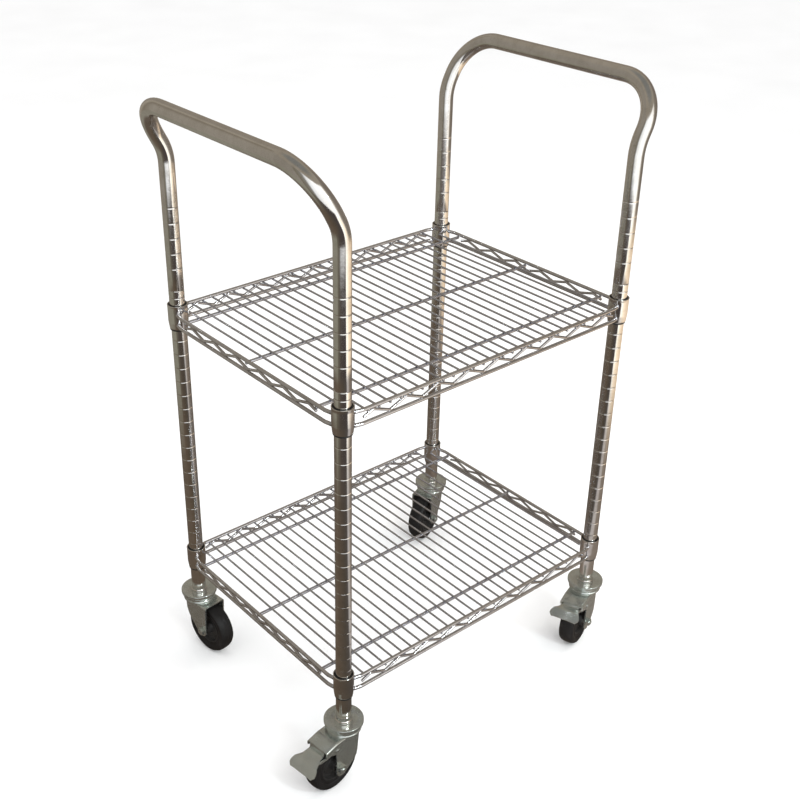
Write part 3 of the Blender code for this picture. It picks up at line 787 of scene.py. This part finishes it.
def build_fork(corner):
    """The fork: a folded channel trimmed to the legs' outline, with the swivel's lower race on top."""
    braked = corner in BRAKED
    body = f"swivel_{corner}"
    place = caster_place(corner)
    reach = BRAKED_FORK_REACH if braked else FORK_REACH
    section = fork_section()
    points = []
    for i in range(FORK_STATIONS + 1):
        u = FORK_BACK + (reach - FORK_BACK) * i / FORK_STATIONS
        points += [Vector((u, y * leg_taper(u), z - roof_fall(u, z, braked))) for y, z in section]
    count, last = len(section), FORK_STATIONS * len(section)
    faces = [tuple(range(count)), tuple(range(last + count - 1, last - 1, -1))]
    for i in range(FORK_STATIONS):
        for k in range(count):
            j = (k + 1) % count
            faces.append((i * count + k, (i + 1) * count + k, (i + 1) * count + j, i * count + j))
    obj = piece(f"caster_fork_{corner}", body, [(points, faces)], MATS["zinc"], [f"fork_{corner}"])
    outline = leg_outline(braked)
    front = [(0.0600, 0.1200), (0.0600, 0.0990)] if braked else [(0.0425, 0.1200)]
    trim(obj, extrude([(-0.0178, 0.1200)] + front + outline[:-1] + [(-0.0178, 0.1040)], -0.04, 0.04, upright))
    holes = [about_y(rod(AXLE_HOLE_R, -0.03, 0.03, 24), TRAIL, WHEEL_R), rod(STEM_HOLE_R, 0.09, 0.12, 24)]
    if braked:
        holes.append(about_y(rod(PIVOT_HOLE_R, -0.03, 0.03, 20), *PEDAL_PIVOT))
    cut(obj, holes)
    obj.data.transform(place)
    bevelled(obj, 0.0005)
    low, high = ROOF_TOP - 0.0022, PLATE_BOTTOM - 0.0005
    race = [(0.0240, low), (0.0286, low), (0.0290, low + 0.0008), (0.0290, low + 0.0022)]
    race += [(0.0284, low + 0.0034), (0.0279, low + 0.0040), (0.0284, low + 0.0048), (0.0285, low + 0.0060)]
    race += [(0.0285, high - 0.0022), (0.0280, high - 0.0010), (0.0270, high - 0.0002), (0.0260, high)]
    race += [(0.0252, ROOF_TOP + 0.0030), (0.0240, ROOF_TOP + 0.0008)]
    race += [(STEM_HOLE_R, ROOF_TOP + 0.0002), (STEM_HOLE_R, low)]
    piece(f"swivel_race_{corner}", body, [spin(race, 64, True)], MATS["zinc"], [f"fork_{corner}"],
          place, angle=50)
    if braked:
        lip = [(0.0580, 0.0992), (0.0599, 0.1004), (0.0607, 0.0985), (0.0616, 0.0950), (0.0622, 0.0905),
               (0.0598, 0.0904), (0.0591, 0.0950)]
        piece(f"fork_lip_{corner}", body, [extrude(lip, -0.0155, 0.0155, upright)], MATS["zinc"],
              [f"fork_{corner}"], place, bevel=0.0005)
    ball = spin([(0, -BALL_R)] + arc((0, 0), BALL_R, -60, 60, 4) + [(0, BALL_R)], 12)
    balls = []
    for i in range(RACE_BALLS):
        a = 2 * math.pi * i / RACE_BALLS
        spot = (BALL_RING_R * math.cos(a), BALL_RING_R * math.sin(a), ROOF_TOP + 0.0042)
        balls.append(moved(ball, Matrix.Translation(spot)))
    piece(f"bearing_balls_{corner}", body, balls, MATS["steel"], [f"swivel_bearing_{corner}"], place)


def leg_taper(u):
    """The legs close in a little towards the fork's back, where they follow the race's round."""
    return 1 - 0.16 * (max(0.0, 0.0080 - u) / 0.0255) ** 2


def roof_fall(u, z, braked):
    """How far the sheet drops past the bend in a braked fork's roof; the legs' feet stay put."""
    if not braked or u < ROOF_BEND or z < 0.0900:
        return 0.0
    return ROOF_SLOPE * (u - ROOF_BEND)


def trim(obj, solid):
    """Keep only what lies inside a solid."""
    tool = tool_solid(*solid)
    bpy.context.scene.collection.objects.link(tool)
    step = obj.modifiers.new("trim", "BOOLEAN")
    step.operation = "INTERSECT"
    step.solver = "EXACT"
    step.object = tool
    settle(obj, step.name)
    bpy.data.objects.remove(tool)


def bevelled(obj, width, angle=40):
    """Ease a cut sheet's edges and shade it."""
    mesh = obj.data
    bm = bmesh.new()
    bm.from_mesh(mesh)
    bmesh.ops.remove_doubles(bm, verts=bm.verts, dist=1e-5)
    bmesh.ops.dissolve_limit(bm, angle_limit=math.radians(1), verts=bm.verts, edges=bm.edges)
    bm.to_mesh(mesh)
    bm.free()
    mesh.shade_smooth()
    mesh.set_sharp_from_angle(angle=math.radians(angle))
    add_bevel(obj, width, angle)


def build_wheel(corner):
    body = f"wheel_{corner}"
    place = caster_place(corner)
    half = [(0.0300, 0.0118), (0.0306, 0.0123), (0.0330, 0.0124), (0.0336, 0.0118), (0.0352, 0.0118),
            (0.0358, 0.0126), (0.0400, 0.0132), (0.0430, 0.0133), (0.0446, 0.0130), (0.0450, 0.0134),
            (0.0455, 0.0133), (0.0458, 0.0126), (0.0468, 0.0116),
            (0.0479, 0.0094), (0.0486, 0.0062), (0.0489, 0.0030), (0.0490, 0.0008), (0.0488, 0.0003)]
    tread = [(r, -a) for r, a in half] + [(r, a) for r, a in reversed(half)]
    tyre = about_y(spin(tread, 96, True), TRAIL, WHEEL_R)
    piece(f"tyre_{corner}_tread", body, [tyre], MATS["tyre"], [f"tyre_{corner}"], place, angle=50)
    side = [(0.0063, 0.0160), (0.0100, 0.0160), (0.0106, 0.0155), (0.0109, 0.0080), (0.0122, 0.0062),
            (0.0200, 0.0060), (0.0206, 0.0066), (0.0216, 0.0066), (0.0222, 0.0060), (0.0258, 0.0062),
            (0.0272, 0.0095), (0.0280, 0.0112), (0.0297, 0.0115)]
    rim = [(r, -a) for r, a in side] + [(r, a) for r, a in reversed(side)]
    core = about_y(spin(rim, 96, True), TRAIL, WHEEL_R)
    piece(f"wheel_disc_{corner}", body, [core], MATS["core"], [f"wheel_core_{corner}"], place)


def hexagon(across_flats, low, high, hole=0.0):
    """A chamfered hexagon about Z, with a round hole through it if it is a nut."""
    corner = across_flats / 2 / math.cos(math.pi / 6)
    points, faces = [], []
    levels = [(low, 0.90), (low + 0.0007, 1.0), (high - 0.0007, 1.0), (high, 0.90)]
    steps = 24

    def reach(i, share):
        a = 2 * math.pi * i / steps
        flat = across_flats / 2 / math.cos((a + math.pi / 6) % (math.pi / 3) - math.pi / 6)
        return min(flat, corner * share) if share < 1 else flat
    for z, share in levels:
        for i in range(steps):
            a = 2 * math.pi * i / steps
            r = reach(i, share)
            points.append(Vector((r * math.cos(a), r * math.sin(a), z)))
    for level in range(3):
        for i in range(steps):
            j = (i + 1) % steps
            a, b = level * steps, (level + 1) * steps
            faces.append((a + i, a + j, b + j, b + i))
    if not hole:
        faces.append(tuple(reversed(range(steps))))
        faces.append(tuple(range(3 * steps, 4 * steps)))
        return points, faces
    start = len(points)
    for z in (low, high):
        for i in range(steps):
            a = 2 * math.pi * i / steps
            points.append(Vector((hole * math.cos(a), hole * math.sin(a), z)))
    for i in range(steps):
        j = (i + 1) % steps
        faces.append((j, i, start + i, start + j))
        faces.append((3 * steps + i, 3 * steps + j, start + steps + j, start + steps + i))
        faces.append((start + i, start + j, start + steps + j, start + steps + i))
    return points, faces


def build_axle(corner):
    body = f"swivel_{corner}"
    place = caster_place(corner)
    face = FORK_HALF_W + GAP
    inside = FORK_HALF_W - SHEET - GAP
    spacer = [(AXLE_HOLE_R, -inside), (0.0059, -inside), (0.0059, inside), (AXLE_HOLE_R, inside)]
    piece(f"axle_tube_{corner}", body, [about_y(spin(spacer, 32, True), TRAIL, WHEEL_R)], MATS["steel"],
          [f"axle_sleeve_{corner}"], place)
    head = about_y(hexagon(HEX_FLATS, -face - 0.0055, -face), TRAIL, WHEEL_R)
    shank = [(0, -face - 0.0010), (0.0040, -face - 0.0010), (0.0040, face - 0.002)]
    for i in range(7):
        shank += [(0.0040, face - 0.0012 + i * 0.00125), (0.0036, face - 0.0006 + i * 0.00125)]
    shank += [(0.0038, face + 0.0080), (0.0031, face + 0.0085), (0, face + 0.0085)]
    piece(f"axle_hex_bolt_{corner}", body, [head, about_y(spin(shank, 32), TRAIL, WHEEL_R)], MATS["bolt"],
          [f"axle_bolt_{corner}"], place, angle=20)
    nut = about_y(hexagon(HEX_FLATS, face, face + 0.0065, AXLE_HOLE_R), TRAIL, WHEEL_R)
    piece(f"axle_hex_nut_{corner}", body, [nut], MATS["bolt"],
          [f"axle_nut_{corner}"], place, angle=20)


def pedal_spine():
    """Side view of the tread plate's top face, from its neck to its toe."""
    path = [(0.0634, 0.0921), (0.0653, 0.0890), (0.0745, 0.0876), (0.0856, 0.0867), (0.0986, 0.0737)]
    return [(p.x, p.y) for p in rounded([(u, v, 0) for u, v in path], 0.005, 4)]


def pedal_half_width(u):
    """Half width of the pedal along its length: a neck that flares into the toe plate."""
    stops = [(0.0600, 0.0145), (0.0680, 0.0152), (0.0740, 0.0182), (0.0795, 0.0207), (0.0840, 0.0232),
             (0.0870, 0.0252), (0.0893, 0.0268), (0.0912, 0.0276), (0.0930, 0.0279), (0.0950, 0.0276),
             (0.0966, 0.0266), (0.0978, 0.0250), (0.0986, 0.0230)]
    for (a, wa), (b, wb) in zip(stops, stops[1:]):
        if u <= b:
            return wa + (wb - wa) * max(0.0, (u - a) / (b - a))
    return stops[-1][1]


def build_pedal(corner):
    """The pressed brake pedal: a bent toe plate on two flanges with pivot eyes."""
    spine = pedal_spine()
    dense = []
    for (a, za), (b, zb) in zip(spine, spine[1:]):
        for k in range(3):
            dense.append((a + (b - a) * k / 3, za + (zb - za) * k / 3))
    dense.append(spine[-1])
    points, faces = [], []
    across = 12
    for i, (u, z) in enumerate(dense):
        before, after = dense[max(i - 1, 0)], dense[min(i + 1, len(dense) - 1)]
        run, fall = after[0] - before[0], after[1] - before[1]
        length = math.hypot(run, fall)
        half = pedal_half_width(u)
        for sheet in (0.0, PEDAL_SHEET):
            for k in range(across + 1):
                t = 2 * k / across - 1
                drop = PEDAL_CURL * (abs(t) ** 6) * (1 if u > PEDAL_CURL_FROM else 0)
                points.append(Vector((u + sheet * fall / length, t * half, z - sheet * run / length - drop)))
    row = across + 1
    for i in range(len(dense) - 1):
        a, b = i * 2 * row, (i + 1) * 2 * row
        for k in range(across):
            faces.append((a + k, b + k, b + k + 1, a + k + 1))
            faces.append((a + row + k, a + row + k + 1, b + row + k + 1, b + row + k))
        faces.append((a, a + row, b + row, b))
        faces.append((a + across, b + across, b + row + across, a + row + across))
    end = (len(dense) - 1) * 2 * row
    for k in range(across):
        faces.append((k, k + 1, row + k + 1, row + k))
        faces.append((end + k + 1, end + k, end + row + k, end + row + k + 1))
    trail, height = PEDAL_PIVOT
    side = arc(PEDAL_PIVOT, PEDAL_EYE_R, 60, 240, 10)
    side += [(trail + 0.020, height - 0.0085), (0.0700, 0.0828), (0.0798, 0.0858)]
    side += [(0.0790, height - 0.0036), (trail + 0.020, height - 0.0034)]
    flanges = [extrude(side, sign * PEDAL_ARM[0], sign * PEDAL_ARM[1], upright) for sign in (-1, 1)]
    obj = piece(f"pedal_{corner}", f"brake_{corner}", [(points, faces)] + flanges, MATS["zinc"],
                [f"brake_pedal_{corner}"])
    fuse(obj)
    cut(obj, [about_y(rod(PIVOT_HOLE_R, -0.03, 0.03, 20), *PEDAL_PIVOT)])
    pivot = Matrix.Translation((trail, 0, height))
    if corner == "front_right":
        obj.data.transform(pivot @ Matrix.Rotation(-PEDAL_TRAVEL, 4, "Y") @ pivot.inverted())
    obj.data.transform(caster_place(corner))
    bevelled(obj, 0.0004, 45)


def build_rivets(corner):
    for label, sign in (("inner", -1), ("outer", 1)):
        profile = [(0, 0.0150), (0.0036, 0.0150), (0.0042, 0.0153), (0.0042, 0.0162), (0.0027, 0.0162),
                   (0.0027, FORK_HALF_W + GAP), (0.0042, FORK_HALF_W + GAP), (0.0039, FORK_HALF_W + 0.0010),
                   (0.0028, FORK_HALF_W + 0.0016), (0, FORK_HALF_W + 0.0018)]
        part = about_y(spin([(r, sign * h) for r, h in profile], 28), *PEDAL_PIVOT)
        piece(f"pivot_rivet_{label}_{corner}", f"swivel_{corner}", [part], MATS["bolt"],
              [f"brake_rivet_{label}_{corner}"], caster_place(corner))


def build_cart():
    for corner in CORNERS:
        build_post(corner)
        build_sleeve("sleeve_upper", corner, SHELF_TOP["upper"])
        build_sleeve("sleeve_lower", corner, SHELF_TOP["lower"])
        build_stem(corner)
        build_fork(corner)
        build_wheel(corner)
        build_axle(corner)
        if corner in BRAKED:
            build_pedal(corner)
            build_rivets(corner)
    build_handle("handle_left", -1)
    build_handle("handle_right", 1)
    build_shelf("upper")
    build_shelf("lower")


# Studio: pale floor, soft light, and surroundings that only reflections see.

STAGE_RINGS = (0, 1.0, 4.0, 12.0)


def build_camera():
    data = bpy.data.cameras.new("camera")
    data.sensor_width = 36.0
    data.lens = 53.61
    data.shift_x = 0.0572
    data.shift_y = -0.0021
    data.clip_end = 50
    obj = add_object("camera", data)
    right = Vector((0.77781, -0.62849, 0.00207)).normalized()
    ahead = Vector((0.54960, 0.67857, -0.48731)).normalized()
    over = right.cross(ahead).normalized()
    right = ahead.cross(over)
    turn = Matrix((right, over, -ahead)).transposed().to_4x4()
    spot = (CENTRE.x - 1.17144, CENTRE.y - 1.32941, 1.50174)
    obj.matrix_world = Matrix.Translation(spot) @ turn
    bpy.context.scene.camera = obj


def stage_disc(name, material, height):
    """A round sheet under the cart that isn't part of it."""
    points, faces = spin([(radius, 0) for radius in STAGE_RINGS], 48)
    mesh = bpy.data.meshes.new(name)
    mesh.from_pydata([tuple(p) for p in points], [], faces)
    mesh.materials.append(material)
    obj = add_object(name, mesh)
    obj.location = (CENTRE.x, CENTRE.y, height)
    return obj


def build_floor():
    n = Nodes("studio_floor")
    cloud = n.noise(3.0, 3.0, 0.5)
    colour = n.ramp(cloud, [(0.3, (0.95, 0.95, 0.95)), (0.7, (0.97, 0.97, 0.97))])
    n.done(colour, n.spread(cloud, 0.7, 0.9), specular=0.1)
    floor = stage_disc("floor", n.mat, -0.0004)
    floor.visible_glossy = False


def area_light(name, place, target, size, power, colour=(1, 1, 1), glossy=False):
    data = bpy.data.lights.new(name, "AREA")
    data.shape = "DISK"
    data.size = size
    data.energy = power
    data.color = colour
    obj = add_object(name, data)
    obj.location = place
    obj.rotation_mode = "QUATERNION"
    obj.rotation_quaternion = (Vector(target) - Vector(place)).to_track_quat("-Z", "Y")
    obj.visible_glossy = glossy
    return obj


# What polished surfaces see: colours by compass bearing in degrees from +X towards +Y.
NEAR_FLOOR = [(-175, (0.12, 0.09, 0.065)), (-125, (0.085, 0.07, 0.055)), (-98, (0.09, 0.08, 0.075)),
              (-88, (0.50, 0.47, 0.46)), (-70, (0.50, 0.46, 0.44)), (-60, (0.27, 0.23, 0.195)),
              (-20, (0.22, 0.18, 0.15)), (20, (0.16, 0.13, 0.11)), (90, (0.13, 0.105, 0.085)),
              (150, (0.13, 0.10, 0.075))]
MIDDLE_FLOOR = [(-178, (0.17, 0.155, 0.12)), (-150, (0.085, 0.07, 0.06)), (-104, (0.065, 0.055, 0.055)),
                (-96, (0.14, 0.13, 0.13)), (-90, (1.60, 1.55, 1.45)), (-68, (1.30, 1.12, 0.88)),
                (-40, (1.05, 0.84, 0.62)), (8, (0.80, 0.62, 0.46)), (24, (0.24, 0.20, 0.16)),
                (80, (0.26, 0.24, 0.20)), (150, (0.27, 0.26, 0.21))]
WALLS = [(-176, (0.20, 0.18, 0.14)), (-158, (0.25, 0.24, 0.22)), (-148, (0.95, 0.98, 1.02)),
         (-112, (1.32, 1.34, 1.36)), (-66, (1.35, 1.34, 1.32)), (-56, (0.62, 0.57, 0.52)),
         (-46, (0.26, 0.23, 0.19)), (-28, (0.22, 0.19, 0.16)), (4, (0.19, 0.16, 0.14)),
         (28, (0.28, 0.23, 0.18)), (80, (0.28, 0.25, 0.21)), (92, (0.37, 0.33, 0.27)),
         (104, (0.22, 0.19, 0.15)), (118, (0.31, 0.28, 0.235)), (140, (0.28, 0.255, 0.22))]
CEILING = (0.32, 0.285, 0.235)
ZENITH = (0.21, 0.21, 0.20)
# Where one gives way to the next: two by distance from the cart's middle, two by the height of the ray.
NEAR_FLOOR_ENDS = (0.92, 1.48)
MIDDLE_FLOOR_ENDS = (2.30, 2.80)
CEILING_STARTS = (0.60, 0.70)
ZENITH_STARTS = (0.80, 0.97)


class Surroundings(Tree):
    """The node tree of the world, or of the floor that reflections see."""

    def __init__(self, tree):
        super().__init__(tree)
        tree.nodes.clear()

    def maths(self, operation, *values):
        made = self.node("ShaderNodeMath", operation=operation)
        for socket, value in zip(made.inputs, values):
            self.link(value, socket)
        return made.outputs[0]

    def parts(self, vector):
        split = self.node("ShaderNodeSeparateXYZ")
        self.link(vector, split.inputs[0])
        return split.outputs

    def bearing(self, x, y):
        """0 at due -X, rising anticlockwise to 1."""
        return self.maths("ADD", self.maths("DIVIDE", self.maths("ARCTAN2", y, x), 2 * math.pi), 0.5)

    def compass(self, bearing, stops):
        """Colours by bearing, brought under 1 for the ramp and scaled back after it."""
        top = max(max(colour) for _, colour in stops)
        ring = sorted(((degrees + 180) / 360, tuple(c / top for c in colour)) for degrees, colour in stops)
        scaled = self.node("ShaderNodeVectorMath", operation="SCALE")
        self.link(self.ramp(bearing, ring), scaled.inputs[0])
        scaled.inputs["Scale"].default_value = top
        return scaled.outputs[0]

    def rise(self, value, start, end):
        made = self.node("ShaderNodeMapRange", interpolation_type="SMOOTHSTEP")
        made.inputs["From Min"].default_value = start
        made.inputs["From Max"].default_value = end
        self.link(value, made.inputs["Value"])
        return made.outputs["Result"]


def build_mirror_floor():
    """The dim, uneven floor that only reflections see: dark round the cart and bright further out."""
    material = bpy.data.materials.new("mirror_floor")
    material.use_nodes = True
    s = Surroundings(material.node_tree)
    place = s.node("ShaderNodeVectorMath", operation="SUBTRACT")
    s.link(s.node("ShaderNodeNewGeometry").outputs["Position"], place.inputs[0])
    place.inputs[1].default_value = (CENTRE.x, CENTRE.y, 0)
    x, y, _ = s.parts(place.outputs[0])
    bearing = s.bearing(x, y)
    reach = s.maths("SQRT", s.maths("ADD", s.maths("MULTIPLY", x, x), s.maths("MULTIPLY", y, y)))
    mottle = s.node("ShaderNodeTexNoise")
    mottle.inputs["Scale"].default_value = 5.0
    mottle.inputs["Detail"].default_value = 3.0
    s.link(place.outputs[0], mottle.inputs["Vector"])
    uneven = s.maths("ADD", reach, s.maths("MULTIPLY", s.maths("SUBTRACT", mottle.outputs["Fac"], 0.5), 0.25))
    near, middle = s.compass(bearing, NEAR_FLOOR), s.compass(bearing, MIDDLE_FLOOR)
    colour = s.mix(s.rise(uneven, *NEAR_FLOOR_ENDS), near, middle)
    colour = s.mix(s.rise(uneven, *MIDDLE_FLOOR_ENDS), colour, s.compass(bearing, WALLS))
    glow = s.node("ShaderNodeEmission")
    s.link(colour, glow.inputs["Color"])
    s.link(glow.outputs[0], s.node("ShaderNodeOutputMaterial").inputs["Surface"])
    obj = stage_disc("mirror_floor", material, -0.0006)
    obj.visible_camera = False
    obj.visible_diffuse = False
    obj.visible_shadow = False
    obj.visible_transmission = False


def build_world():
    """White to the camera and to matt surfaces, and a room with a bright side to polished ones."""
    world = bpy.data.worlds.new("room")
    bpy.context.scene.world = world
    world.use_nodes = True
    s = Surroundings(world.node_tree)
    x, y, z = s.parts(s.node("ShaderNodeTexCoord").outputs["Generated"])
    bearing = s.bearing(x, y)
    room = s.mix(s.rise(z, *CEILING_STARTS), s.compass(bearing, WALLS), CEILING)
    room = s.mix(s.rise(z, *ZENITH_STARTS), room, ZENITH)
    ray = s.node("ShaderNodeLightPath")
    seen = s.mix(ray.outputs["Is Glossy Ray"], (1.02, 1.02, 1.02), room)
    background = s.node("ShaderNodeBackground")
    s.link(s.mix(ray.outputs["Is Camera Ray"], seen, (1.0, 1.0, 1.0)), background.inputs["Color"])
    s.link(background.outputs[0], s.node("ShaderNodeOutputWorld").inputs["Surface"])


def build_studio():
    build_camera()
    build_floor()
    build_mirror_floor()
    build_world()
    middle = (CENTRE.x, CENTRE.y, 0.4)
    foot = (CENTRE.x, CENTRE.y, 0.12)
    key_spot = (CENTRE.x - 0.6, CENTRE.y - 2.2, 2.6)
    fill_spot = (CENTRE.x + 2.2, CENTRE.y - 0.6, 1.8)
    glint_spot = (CENTRE.x + 0.10, CENTRE.y - 1.9, 1.5)
    area_light("key", key_spot, middle, size=1.6, power=34)
    area_light("fill", fill_spot, middle, size=1.6, power=16, colour=(1.0, 0.95, 0.88))
    area_light("glint", glint_spot, foot, size=0.30, power=10, colour=(0.86, 0.97, 1.0), glossy=True)
    settings = bpy.context.scene.view_settings
    settings.view_transform = "Standard"
    settings.look = "None"


build_cart()
build_studio()
